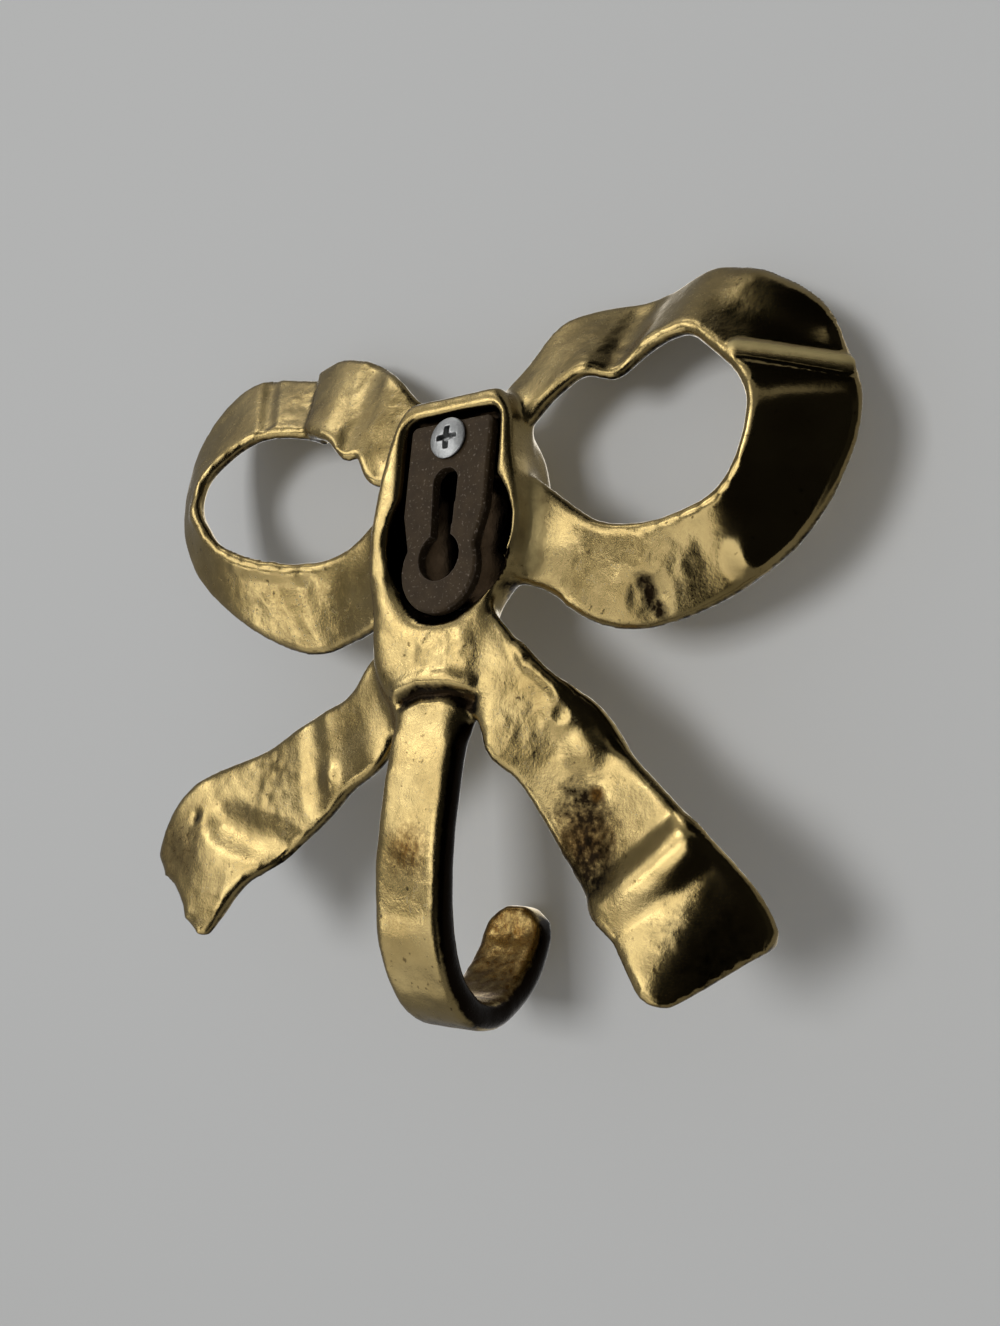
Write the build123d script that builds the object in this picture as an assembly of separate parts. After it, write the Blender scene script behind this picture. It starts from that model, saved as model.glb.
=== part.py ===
"""Cast ribbon-bow wall hook with a keyhole hanger plate on its back.

Three pieces: the brass casting, the steel hanger plate and the screw that holds the plate.
Millimetres, +Z up, the front faces -Y and the wall stands at Y = 0. The origin is the centre
of the upper end of the keyhole slot, on the wall side of the plate: the point the hook hangs by.
Left and right are as seen from the front.
"""
import os
from math import radians, tan

from build123d import *

# Hanger plate
PLATE_THICKNESS = 2.0
PLATE_TOP = 10.3             # height of the top edge above the hang point
PLATE_WIDTH = 16.0
PLATE_SHOULDER_DROP = 5.0    # the straight sides end this far below the hang point
PLATE_WAIST_WIDTH = 13.2
PLATE_WAIST_DROP = 10.5
PLATE_LOBE_RADIUS = 7.3
PLATE_LOBE_DROP = 14.0
PLATE_CORNER_RADIUS = 1.2
PLATE_EDGE_ROUND = 0.35
SLOT_WIDTH = 4.8
NECK_WIDTH = 3.9
NECK_DROP = 8.0
ENTRY_DIAMETER = 7.8
ENTRY_DROP = 12.2

# Screw
SCREW_HEIGHT = 7.2           # screw axis above the hang point
SCREW_SHANK_DIAMETER = 3.4
SCREW_HEAD_DIAMETER = 7.0
SCREW_HEAD_CONE_ANGLE = 82.0
SCREW_HEAD_CROWN = 0.5
SCREW_HEAD_PROUD = 0.5       # flat rim of the head above the plate's wall face
SCREW_LENGTH = 9.0           # below the plate's wall face
SCREW_POINT_LENGTH = 1.4
SCREW_POINT_RADIUS = 0.5
CROSS_WIDTH = 0.9
CROSS_SPAN = 3.8
CROSS_DEPTH = 1.3
FIT_CLEARANCE = 0.05
PILOT_SPARE = 0.3            # depth of the pilot hole past the screw's point

# Recess and pocket in the casting
RECESS_MARGIN = 1.5          # between the plate's edge and the wall of the recess
POCKET_RADIUS = 12.2
POCKET_DROP = 8.2
POCKET_SHIFT = -0.7          # the pocket's middle stands this far left of the hang point
POCKET_DEPTH = 6.3           # below the wall plane

# Hook strap
STRAP_WIDTH = 13.2
STRAP_THICKNESS = 4.6
STRAP_EASE = 1.1             # how much its edges are eased
STRAP_ROOT_DROP = 26.0       # the strap starts inside the core this far below the hang point
STRAP_BACK_SETBACK = 2.3     # back of the strap behind the wall plane at its root
STRAP_SHIFT = 0.9            # the strap stands this far right of the hang point
HOOK_DROP = 83.6             # lowest point of the hook
HOOK_REACH = 34.8            # front of the hook's tip, measured from the wall plane
HOOK_TIP_DROP = 64.1         # top of the hook's tip
HOOK_TIP_WIDTH = 12.4
HOOK_TIP_RADIUS = 7.0
STRAP_BULGE = 2.0            # the strap's middle line bows this far towards the wall
STRAP_BULGE_DROP = 48.0
HOOK_HEEL = [(-1.5, 17.0), (2.7, 6.0)]   # points in front of the root line, above the bowl
HOOK_TOE = [(6.0, 4.0), (1.2, 11.0)]     # points behind the tip, above the bowl
HOOK_BOWL_SHIFT = 1.05       # the bowl's lowest point, behind the middle of the throat
STRAP_SECTION_COUNT = 11

# Ribbon
RIBBON_THICKNESS = 2.6
RIBBON_EDGE_FALL = 0.75      # how far each eased edge falls away, front and back
RIBBON_EDGE_REACH = 0.95     # width of that fall, in from the edge
RIBBON_STEPS = 2             # sections of a ribbon for each station

# Knot on the front: height of each section, half of its width, its front from the wall plane
KNOT_SECTIONS = [
    (12.5, 8.0, 8.6),
    (8.0, 9.8, 13.2),
    (-2.0, 10.6, 16.5),
    (-12.0, 9.8, 13.6),
    (-17.5, 8.0, 8.8),
]
KNOT_ROOT = 6.0              # back of the knot, inside the core
KNOT_GROOVE = 1.3            # depth of the creases between its three pleats
KNOT_MIDDLE_PLEAT = 8.0      # width of the middle pleat
KNOT_PLEAT_LEAN = 0.8        # crest of an outer pleat, outward of the pleat's middle
KNOT_PLEAT_SETBACK = 0.7     # crest of an outer pleat, behind the middle one

# Tail ends
LEFT_TAIL_CORNER_RADIUS = 5.5
RIGHT_TAIL_CORNER_RADIUS = 3.0
NOTCH_RADIUS = 12.2          # hollow in the end of the right tail
NOTCH_X = 62.6
NOTCH_Z = -75.8
CUTTER_MARGIN = 3.0          # how far a corner cutter reaches past the ribbon's edges
CUTTER_OVERLAP = 0.3         # its arc starts this far outside the edges, so that it crosses them
THROUGH = 30.0               # longer than any wall that a cut has to pass

# Each ribbon is a row of stations. A station is two points (X, Y, Z) on the ribbon's wall side:
# one on the edge nearer the loop's hole (or the tail's lower edge), one on the edge across.
LEFT_LOOP = [
    ((-6.0, -4.0, 6.0), (-2.0, -5.5, 14.0)),
    ((-12.0, -3.0, 9.3), (-8.3, -7.0, 21.0)),
    ((-15.7, -3.0, 13.0), (-13.3, -9.0, 28.6)),
    ((-21.7, -3.0, 16.4), (-19.5, -11.0, 30.7)),
    ((-26.7, -3.5, 15.1), (-26.5, -11.5, 30.5)),
    ((-31.8, -3.0, 18.2), (-33.9, -10.5, 30.6)),
    ((-38.8, -2.0, 19.0), (-41.2, -9.0, 31.8)),
    ((-44.9, -1.0, 14.1), (-51.1, -8.0, 26.3)),
    ((-48.6, -0.3, 9.6), (-59.2, -6.5, 18.5)),
    ((-50.3, 0.2, 4.4), (-64.6, -5.0, 5.4)),
    ((-49.0, 0.0, -2.7), (-61.8, -6.0, -6.3)),
    ((-45.6, -1.0, -7.2), (-54.3, -7.5, -15.5)),
    ((-40.4, -2.0, -9.0), (-43.8, -9.0, -21.1)),
    ((-33.7, -3.0, -9.7), (-32.3, -9.0, -24.1)),
    ((-26.2, -3.0, -8.6), (-23.6, -8.0, -22.7)),
    ((-19.9, -3.0, -4.3), (-16.3, -6.5, -18.4)),
    ((-12.2, -3.0, 1.1), (-10.7, -4.5, -16.6)),
    ((-5.0, -5.0, -2.0), (-4.0, -6.0, -14.0)),
]
RIGHT_LOOP = [
    ((32.6, -4.8, 14.2), (36.0, -11.2, 29.2)),
    ((37.3, -4.0, 16.0), (41.7, -10.5, 30.3)),
    ((46.1, -2.5, 16.8), (55.4, -9.0, 32.0)),
    ((52.6, -1.5, 14.4), (62.7, -7.0, 27.0)),
    ((58.6, -0.2, 9.0), (66.6, -5.0, 17.5)),
    ((59.2, 0.4, 3.8), (66.9, -3.8, 3.8)),
    ((57.2, 0.2, -0.4), (64.8, -4.6, -4.8)),
    ((52.4, -0.5, -5.4), (59.3, -6.0, -12.2)),
    ((44.9, -1.8, -8.2), (49.5, -7.5, -18.8)),
    ((37.5, -2.7, -9.2), (40.1, -9.0, -23.1)),
    ((30.5, -3.0, -9.4), (31.8, -9.0, -24.6)),
    ((24.8, -3.0, -8.4), (24.9, -8.0, -23.4)),
    ((19.5, -2.5, -5.8), (17.7, -5.5, -21.9)),
    ((14.5, -2.8, -1.5), (12.5, -4.5, -19.5)),
    ((6.0, -4.5, 0.0), (5.0, -5.5, -15.0)),
]
# Second layer of ribbon that laps over the start of the right loop
RIGHT_FOLD = [
    ((7.0, -4.5, 3.5), (2.0, -5.5, 13.0)),
    ((15.6, -2.8, 2.6), (11.4, -5.5, 18.0)),
    ((19.6, -2.0, 4.4), (17.0, -6.1, 23.4)),
    ((22.2, -1.8, 8.6), (21.5, -6.8, 26.9)),
    ((25.4, -1.7, 8.9), (27.3, -7.6, 30.0)),
    ((30.2, -2.0, 13.2), (34.0, -8.4, 32.0)),
    ((36.0, -2.9, 15.4), (40.6, -9.4, 31.4)),
]
LEFT_TAIL = [
    ((-1.0, -5.6, -23.0), (-3.0, -5.6, -14.5)),
    ((-6.0, -1.7, -33.6), (-9.0, -1.3, -19.6)),
    ((-10.2, -2.6, -42.8), (-14.4, -1.5, -25.3)),
    ((-14.5, -4.1, -46.5), (-21.0, -2.7, -31.3)),
    ((-18.1, -5.6, -51.2), (-26.8, -4.2, -35.2)),
    ((-22.6, -6.5, -57.8), (-33.0, -5.5, -42.6)),
    ((-28.3, -5.5, -64.2), (-40.8, -4.5, -49.4)),
    ((-32.9, -4.0, -69.2), (-46.8, -4.5, -54.5)),
    ((-36.5, -3.0, -73.7), (-51.9, -6.0, -59.6)),
    ((-39.6, -3.0, -77.2), (-55.5, -8.0, -66.0)),
]
RIGHT_TAIL = [
    ((1.5, -5.6, -24.0), (4.0, -5.6, -14.0)),
    ((6.0, -5.4, -34.5), (10.0, -5.2, -20.0)),
    ((11.2, -4.0, -44.3), (16.1, -4.0, -27.5)),
    ((17.5, -5.0, -47.9), (20.3, -4.5, -32.6)),
    ((24.7, -5.5, -54.5), (28.7, -5.0, -36.0)),
    ((32.3, -5.0, -60.4), (39.7, -6.0, -41.4)),
    ((38.6, -4.0, -64.2), (51.0, -6.0, -44.8)),
    ((42.0, -3.5, -68.5), (58.3, -5.0, -49.5)),
    ((46.0, -3.0, -75.5), (64.0, -3.5, -60.0)),
]
# Core that joins the ribbons: height, left and right sides, front, back, and how much its edges are eased
CORE_SECTIONS = [
    (15.0, -8.5, 9.5, -6.6, -0.6, 0.8),
    (12.0, -10.5, 11.5, -7.0, 0.3, 0.8),
    (4.0, -12.2, 13.6, -7.9, 0.3, 0.8),
    (-6.0, -14.4, 15.2, -8.4, 0.0, 0.8),
    (-14.0, -12.3, 15.0, -8.3, -0.5, 0.9),
    (-21.0, -8.3, 14.0, -7.8, -0.7, 1.0),
    (-27.0, -8.0, 13.0, -7.2, -0.4, 1.2),
    (-31.5, -7.6, 11.6, -6.7, -0.5, 1.4),
    (-34.0, -7.0, 10.0, -6.4, -1.0, 1.6),
    (-35.6, -6.2, 8.6, -6.1, -2.8, 1.2),
]

# Web that fills the fork between the tails, behind the strap's root
WEB_WIDTH = 15.4
WEB_THICKNESS = 2.2
WEB_BACK = 3.4               # its wall-side face, from the wall plane
WEB_TOP_DROP = 30.0
WEB_BOTTOM_DROP = 41.6
WEB_SHIFT = 0.7
WEB_CORNER_RADIUS = 4.0


def on_curve(points, i, t):
    """Point at share t of the way from points[i] to the next, on a smooth curve through them all."""
    start, end = points[i], points[i + 1]
    before = points[i - 1] if i > 0 else start * 2 - end
    after = points[i + 2] if i + 2 < len(points) else end * 2 - start
    leaving = (end - before) / 2
    arriving = (after - start) / 2
    return (
        start * (1 - 3 * t ** 2 + 2 * t ** 3)
        + end * (3 * t ** 2 - 2 * t ** 3)
        + leaving * (t - 2 * t ** 2 + t ** 3)
        + arriving * (t ** 3 - t ** 2)
    )


def ribbon(stations):
    """Loft a strip with eased edges through the stations, thickened away from the wall."""
    rails = [[Vector(*station[side]) for station in stations] for side in (0, 1)]
    inner, outer = [], []
    for i in range(len(stations) - 1):
        for step in range(RIBBON_STEPS):
            inner.append(on_curve(rails[0], i, step / RIBBON_STEPS))
            outer.append(on_curve(rails[1], i, step / RIBBON_STEPS))
    inner.append(rails[0][-1])
    outer.append(rails[1][-1])
    last = len(inner) - 1
    wires = []
    for i, start in enumerate(inner):
        across = (outer[i] - start).normalized()
        width = (outer[i] - start).length
        ahead, behind = min(i + 1, last), max(i - 1, 0)
        along = inner[ahead] + outer[ahead] - inner[behind] - outer[behind]
        wallward = along.cross(across).normalized()
        if wallward.Y < 0:
            wallward = -wallward
        reach, fall, front = RIBBON_EDGE_REACH, RIBBON_EDGE_FALL, -RIBBON_THICKNESS
        outline = [
            (reach, 0), (width - reach, 0), (width, -fall), (width, front + fall),
            (width - reach, front), (reach, front), (0, front + fall), (0, -fall),
        ]
        wires.append(Wire.make_polygon([start + across * side + wallward * up for side, up in outline]))
    return Part() + Solid.make_loft(wires)


def corner_cutter(corner, end_side, long_side, radius, front, back):
    """Cutter along Y, from front to back, that rounds a corner given by two directions in X and Z."""
    corner = Vector(corner.X, front, corner.Z)
    end_side = Vector(end_side.X, 0, end_side.Z).normalized()
    long_side = Vector(long_side.X, 0, long_side.Z).normalized()
    corner -= (end_side + long_side) * CUTTER_OVERLAP
    reach = radius / tan(radians(end_side.get_angle(long_side)) / 2)
    bisector = (end_side + long_side).normalized()
    first = corner + end_side * reach
    second = corner + long_side * reach
    crest = corner + bisector * ((reach ** 2 + radius ** 2) ** 0.5 - radius)
    outer_first = first - long_side * CUTTER_MARGIN
    outer_corner = corner - (end_side + long_side) * CUTTER_MARGIN
    outer_second = second - end_side * CUTTER_MARGIN
    outline = Wire([
        Edge.make_three_point_arc(first, crest, second),
        Edge.make_line(second, outer_second),
        Edge.make_line(outer_second, outer_corner),
        Edge.make_line(outer_corner, outer_first),
        Edge.make_line(outer_first, first),
    ])
    return extrude(Face(outline), back - front, dir=(0, 1, 0))


def round_end(tail, stations, radius):
    """Round both corners at the end of a tail."""
    for which in (0, 1):
        corner = Vector(*stations[-1][which])
        end_side = Vector(*stations[-1][1 - which]) - corner
        long_side = Vector(*stations[-2][which]) - corner
        tail -= corner_cutter(corner, end_side, long_side, radius, -THROUGH, THROUGH)
    return tail


def eased_rectangle(width, depth, ease):
    """Rectangle with its corners cut off, which lofts to a bar with eased edges."""
    side, end = width / 2, depth / 2
    return make_face(Polyline(
        (side - ease, -end),
        (side, ease - end),
        (side, end - ease),
        (side - ease, end),
        (ease - side, end),
        (-side, end - ease),
        (-side, ease - end),
        (ease - side, -end),
        close=True,
    ))


def knot_section(height, half_width, front):
    """Outline of the knot at one height: three pleats on the front, a straight line at the back."""
    crease_x = KNOT_MIDDLE_PLEAT / 2
    crease_y = KNOT_GROOVE - front
    crest_x = (crease_x + half_width) / 2 + KNOT_PLEAT_LEAN
    crest_y = KNOT_PLEAT_SETBACK - front
    left, right = (-half_width, -KNOT_ROOT), (half_width, -KNOT_ROOT)
    outline = [
        ThreePointArc(left, (-crest_x, crest_y), (-crease_x, crease_y)),
        ThreePointArc((-crease_x, crease_y), (0, -front), (crease_x, crease_y)),
        ThreePointArc((crease_x, crease_y), (crest_x, crest_y), right),
        Line(right, left),
    ]
    return Plane(origin=(0, 0, height)) * make_face(outline)


def plate_outline():
    """Outline of the hanger plate in X and Z."""
    side = PLATE_WIDTH / 2
    waist = PLATE_WAIST_WIDTH / 2
    body = Polyline(
        (side, -PLATE_SHOULDER_DROP),
        (side, PLATE_TOP),
        (-side, PLATE_TOP),
        (-side, -PLATE_SHOULDER_DROP),
        (-waist, -PLATE_WAIST_DROP),
        (-waist, -PLATE_LOBE_DROP),
        (waist, -PLATE_LOBE_DROP),
        (waist, -PLATE_WAIST_DROP),
        close=True,
    )
    sketch = make_face(body)
    corners = sketch.vertices().filter_by(lambda v: v.Y > -PLATE_WAIST_DROP / 2 - PLATE_SHOULDER_DROP / 2)
    sketch = fillet(corners, PLATE_CORNER_RADIUS)
    return sketch + Pos(0, -PLATE_LOBE_DROP) * Circle(PLATE_LOBE_RADIUS)


def keyhole():
    """Slot, narrowing neck and round entry of the keyhole in X and Z."""
    taper = make_face(Polyline(
        (SLOT_WIDTH / 2, 0),
        (-SLOT_WIDTH / 2, 0),
        (-NECK_WIDTH / 2, -NECK_DROP),
        (-NECK_WIDTH / 2, -ENTRY_DROP),
        (NECK_WIDTH / 2, -ENTRY_DROP),
        (NECK_WIDTH / 2, -NECK_DROP),
        close=True,
    ))
    return taper + Circle(SLOT_WIDTH / 2) + Pos(0, -ENTRY_DROP) * Circle(ENTRY_DIAMETER / 2)


def wall_plane(y):
    """Plane facing the wall at depth y, with its own x to the left and its y up."""
    return Plane(origin=(0, y, 0), x_dir=(-1, 0, 0), z_dir=(0, 1, 0))


def turned(edges, height):
    """Revolve the edges of a half profile (radius, depth from the wall plane) about an axis along Y."""
    return Pos(0, 0, height) * revolve(make_face(edges), Axis.Y)


# Screw: head cone, crown, shank and point, with a cross recess
head_radius = SCREW_HEAD_DIAMETER / 2
shank_radius = SCREW_SHANK_DIAMETER / 2
cone_depth = (head_radius - shank_radius) / tan(radians(SCREW_HEAD_CONE_ANGLE / 2))
rim = SCREW_HEAD_PROUD
neck = rim - cone_depth
crown_top = rim + SCREW_HEAD_CROWN
crown_radius = (head_radius ** 2 + SCREW_HEAD_CROWN ** 2) / (2 * SCREW_HEAD_CROWN)
screw = turned(
    [
        RadiusArc((0, crown_top), (head_radius, rim), crown_radius),
        Polyline(
            (head_radius, rim),
            (shank_radius, neck),
            (shank_radius, SCREW_POINT_LENGTH - SCREW_LENGTH),
            (SCREW_POINT_RADIUS, -SCREW_LENGTH),
            (0, -SCREW_LENGTH),
            (0, crown_top),
        ),
    ],
    SCREW_HEIGHT,
)
cross = Box(CROSS_SPAN, 2 * CROSS_DEPTH, CROSS_WIDTH) + Box(CROSS_WIDTH, 2 * CROSS_DEPTH, CROSS_SPAN)
screw -= Pos(0, crown_top, SCREW_HEIGHT) * cross

# Hanger plate: outline, keyhole, and a countersunk hole for the screw
plate = extrude(wall_plane(-PLATE_THICKNESS) * plate_outline(), PLATE_THICKNESS)
plate = chamfer(plate.faces().sort_by(Axis.Y)[-1].outer_wire().edges(), PLATE_EDGE_ROUND)
plate -= extrude(wall_plane(-PLATE_THICKNESS) * keyhole(), PLATE_THICKNESS)
hole_radius = shank_radius + FIT_CLEARANCE
sink_radius = head_radius + FIT_CLEARANCE
hole_neck = neck - FIT_CLEARANCE / tan(radians(SCREW_HEAD_CONE_ANGLE / 2))
countersink = Polyline(
    (0, -THROUGH),
    (hole_radius, -THROUGH),
    (hole_radius, hole_neck),
    (sink_radius, rim),
    (sink_radius, THROUGH),
    (0, THROUGH),
    close=True,
)
plate -= turned(countersink, SCREW_HEIGHT)

# Hook strap: eased rectangles along a J in the middle plane
half_strap = STRAP_THICKNESS / 2
root_y = -STRAP_BACK_SETBACK - half_strap
low_z = -HOOK_DROP + half_strap
tip_y = -HOOK_REACH + half_strap
line = [(root_y, -STRAP_ROOT_DROP), (root_y + STRAP_BULGE, -STRAP_BULGE_DROP)]
line += [(root_y - ahead, low_z + up) for ahead, up in HOOK_HEEL]
line += [((root_y + tip_y) / 2 + HOOK_BOWL_SHIFT, low_z)]
line += [(tip_y + behind, low_z + up) for behind, up in HOOK_TOE]
line += [(tip_y, -HOOK_TIP_DROP)]
spine = Spline([(STRAP_SHIFT, y, z) for y, z in line])
strap_profiles = []
for i in range(STRAP_SECTION_COUNT):
    place = i / (STRAP_SECTION_COUNT - 1)
    width = STRAP_WIDTH + (HOOK_TIP_WIDTH - STRAP_WIDTH) * max(0, 2 * place - 1)
    plane = Plane(origin=spine @ place, x_dir=(1, 0, 0), z_dir=spine % place)
    strap_profiles.append(plane * eased_rectangle(width, STRAP_THICKNESS, STRAP_EASE))
strap = loft(strap_profiles)
for side in (-1, 1):
    tip_corner = Vector(STRAP_SHIFT + side * HOOK_TIP_WIDTH / 2, 0, -HOOK_TIP_DROP)
    strap -= corner_cutter(
        tip_corner,
        Vector(-side, 0, 0),
        Vector(0, 0, -1),
        HOOK_TIP_RADIUS,
        -HOOK_REACH - CUTTER_MARGIN,
        tip_y + half_strap + CUTTER_MARGIN,
    )

# Core of the casting: horizontal sections from the top of the recess to the strap's root
core_profiles = []
for height, left, right, front, back, ease in CORE_SECTIONS:
    plane = Plane(origin=((left + right) / 2, (front + back) / 2, height))
    core_profiles.append(plane * eased_rectangle(right - left, back - front, ease))
core = loft(core_profiles)

# Knot: the ribbon wrapped over the front of the core
knot = loft([knot_section(*section) for section in KNOT_SECTIONS])

# Casting: ribbons, core, knot and strap joined, then the recess, pocket and pilot hole cut
left_tail = round_end(ribbon(LEFT_TAIL), LEFT_TAIL, LEFT_TAIL_CORNER_RADIUS)
right_tail = round_end(ribbon(RIGHT_TAIL), RIGHT_TAIL, RIGHT_TAIL_CORNER_RADIUS)
notch_plane = Plane(origin=(NOTCH_X, 0, NOTCH_Z), z_dir=(0, 1, 0))
right_tail -= extrude(notch_plane * Circle(NOTCH_RADIUS), THROUGH, both=True)

web = Pos(WEB_SHIFT, -WEB_BACK - WEB_THICKNESS / 2, -(WEB_TOP_DROP + WEB_BOTTOM_DROP) / 2) * Box(
    WEB_WIDTH, WEB_THICKNESS, WEB_BOTTOM_DROP - WEB_TOP_DROP
)
web = fillet(web.edges().filter_by(Axis.Y), WEB_CORNER_RADIUS)

casting = core + knot
ribbons = [ribbon(LEFT_LOOP), ribbon(RIGHT_FOLD), ribbon(RIGHT_LOOP), left_tail, right_tail]
for piece in [strap] + ribbons + [web]:
    casting += piece

seat = -PLATE_THICKNESS
recess = extrude(wall_plane(seat) * offset(plate_outline(), RECESS_MARGIN), THROUGH)
pocket_face = wall_plane(-POCKET_DEPTH) * (Pos(-POCKET_SHIFT, -POCKET_DROP) * Circle(POCKET_RADIUS))
pocket = extrude(pocket_face, THROUGH)
pilot_depth = SCREW_LENGTH + PILOT_SPARE
pilot = Pos(0, -pilot_depth / 2, SCREW_HEIGHT) * Rot(90, 0, 0) * Cylinder(hole_radius, pilot_depth)
casting = casting - recess - pocket - pilot

os.makedirs("parts", exist_ok=True)
export_step(casting, "parts/bow_hook_casting.step")
export_step(plate, "parts/keyhole_plate.step")
export_step(screw, "parts/plate_screw.step")
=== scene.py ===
# %% [markdown]
# A cast brass wall hook shaped as a ribbon bow, seen from behind.
# The construction is already done: three solids at their real size arrive as a fixed frame.
# Here the casting gets its soft, hand-worked surface, the hanger plate and its screw get their
# finish, and a pale sheet and soft light make the picture.

# %% load the frame
import math

import bmesh
import bpy
import numpy as np
from mathutils import Matrix, Vector


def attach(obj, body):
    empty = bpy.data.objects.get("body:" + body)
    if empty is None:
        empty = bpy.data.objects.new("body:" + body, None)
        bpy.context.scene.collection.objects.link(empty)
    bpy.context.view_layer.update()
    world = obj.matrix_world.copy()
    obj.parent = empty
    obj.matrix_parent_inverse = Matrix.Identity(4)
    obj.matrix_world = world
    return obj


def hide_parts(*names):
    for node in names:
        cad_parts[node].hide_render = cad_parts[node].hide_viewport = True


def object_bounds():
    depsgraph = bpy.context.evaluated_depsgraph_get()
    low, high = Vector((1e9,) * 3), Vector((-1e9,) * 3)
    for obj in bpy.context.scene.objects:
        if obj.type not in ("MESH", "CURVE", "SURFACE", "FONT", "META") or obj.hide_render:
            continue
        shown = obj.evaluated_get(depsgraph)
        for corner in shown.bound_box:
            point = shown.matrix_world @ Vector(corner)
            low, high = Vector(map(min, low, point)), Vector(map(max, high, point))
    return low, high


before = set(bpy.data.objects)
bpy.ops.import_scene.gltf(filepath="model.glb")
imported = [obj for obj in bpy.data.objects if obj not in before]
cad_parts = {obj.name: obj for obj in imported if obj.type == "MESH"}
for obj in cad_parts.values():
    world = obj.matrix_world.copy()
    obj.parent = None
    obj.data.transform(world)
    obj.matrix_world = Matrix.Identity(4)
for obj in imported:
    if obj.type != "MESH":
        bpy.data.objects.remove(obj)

MM = 0.001
cad_low, cad_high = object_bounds()
print("nodes:", sorted(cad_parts))
print("size in mm:", [round(v / MM, 1) for v in cad_high - cad_low])

# %% [markdown]
# A few helpers serve every step. Colours are written as sRGB hex values, the way a paint chart
# gives them, and Blender's shaders want them linear. Node trees could be drawn by hand in the
# editor. Here one function adds a node, sets it up and links it, so that each tree reads as a list.

# %% helpers for colours and nodes
# Places of the Mix node's sockets, several of which share a name
MIX_SHARE = 0
NUMBER_A, NUMBER_B = 2, 3
COLOUR_A, COLOUR_B = 6, 7
MIXED_COLOUR = 2


def colour(hex_code):
    """Linear RGBA of an sRGB hex colour."""
    channels = [int(hex_code[i:i + 2], 16) / 255 for i in (1, 3, 5)]
    linear = [c / 12.92 if c <= 0.04045 else ((c + 0.055) / 1.055) ** 2.4 for c in channels]
    return (*linear, 1.0)


def add(tree, kind, sockets=None, **settings):
    """Add a node: settings are its own properties, sockets are values or links for its inputs."""
    node = tree.nodes.new(kind)
    for name, value in settings.items():
        setattr(node, name, value)
    for key, value in (sockets or {}).items():
        if isinstance(value, bpy.types.NodeSocket):
            tree.links.new(value, node.inputs[key])
        else:
            node.inputs[key].default_value = value
    return node


def empty_tree(owner):
    """Node tree of a material or a world, cleared for a new start."""
    owner.use_nodes = True
    owner.node_tree.nodes.clear()
    return owner.node_tree


def per_mm(size):
    """Texture scale at which one feature of a pattern is about size millimetres wide."""
    return 1 / (size * MM)


print("node helpers ready")

# %% helpers for meshes
MERGE_DISTANCE = 0.001 * MM
SOFTENING = 0.5             # how far one smoothing step moves a point to its neighbours' mean


def modified_mesh(piece):
    """Plain mesh of an object with all its modifiers applied, which are then removed."""
    depsgraph = bpy.context.evaluated_depsgraph_get()
    mesh = bpy.data.meshes.new_from_object(piece.evaluated_get(depsgraph))
    piece.modifiers.clear()
    piece.data = mesh
    return mesh


def skin_of_node(node, name, voxel, steps):
    """New object with an even, softened skin over a copy of a CAD node's mesh."""
    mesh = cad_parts[node].data.copy()
    mesh.materials.clear()
    work = bmesh.new()
    work.from_mesh(mesh)
    bmesh.ops.remove_doubles(work, verts=work.verts, dist=MERGE_DISTANCE)
    work.to_mesh(mesh)
    work.free()
    piece = bpy.data.objects.new(name, mesh)
    bpy.context.scene.collection.objects.link(piece)
    remesh = piece.modifiers.new("skin", "REMESH")
    remesh.mode = "VOXEL"
    remesh.voxel_size = voxel
    soften = piece.modifiers.new("soften", "SMOOTH")
    soften.factor = SOFTENING
    soften.iterations = steps
    modified_mesh(piece)
    return piece


def read_vertices(mesh, name):
    """Places or normals of a mesh's vertices as rows of an array."""
    values = np.empty(len(mesh.vertices) * 3, np.float32)
    mesh.vertices.foreach_get(name, values)
    return values.reshape(-1, 3).astype(float)


def write_places(mesh, points):
    """Move a mesh's vertices to the rows of an array."""
    mesh.vertices.foreach_set("co", points.astype(np.float32).ravel())


def store(mesh, name, values):
    """Store one number per vertex as a named attribute."""
    layer = mesh.attributes.new(name, "FLOAT", "POINT")
    layer.data.foreach_set("value", values.astype(np.float32))


print("mesh helpers ready")

# %% [markdown]
# The camera comes first, because every later choice is judged through it. It stands behind the
# hook, to one side and a little below, close enough for clear perspective. It could be turned by
# three angles, but two of its own axes and a place say more plainly where it looks.

# %% camera
CAMERA_PLACE = Vector((-113.5, 139.5, -64.6)) * MM
CAMERA_RIGHT = Vector((-0.8197, -0.5668, 0.0825))
CAMERA_UP = Vector((-0.0468, 0.2098, 0.9766))
SENSOR = 36.0
IMAGE_HEIGHT = 1326
FOCAL_PIXELS = 1200
NEAREST_SEEN = 5 * MM

camera_data = bpy.data.cameras.new("camera")
camera_data.sensor_width = SENSOR
camera_data.lens = SENSOR * FOCAL_PIXELS / IMAGE_HEIGHT
camera_data.clip_start = NEAREST_SEEN
camera = bpy.data.objects.new("camera", camera_data)
bpy.context.scene.collection.objects.link(camera)
back = CAMERA_RIGHT.cross(CAMERA_UP).normalized()
right = CAMERA_UP.cross(back).normalized()
turn = Matrix((right, back.cross(right), back)).transposed().to_4x4()
camera.matrix_world = Matrix.Translation(CAMERA_PLACE) @ turn
bpy.context.scene.camera = camera
print("lens", round(camera_data.lens, 2), "mm")

# %% [markdown]
# The real hook is one casting, and a mould leaves no crisp edges. The solid has the right forms
# but sharp joints. A Bevel modifier needs clean edges to follow, which lofted ribbons don't have
# where they cross. So a voxel remesh turns the solid into one even skin, and smoothing rounds it.

# %% casting: one even skin
SKIN_VOXEL = 0.52 * MM
SKIN_STEPS = 12

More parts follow.
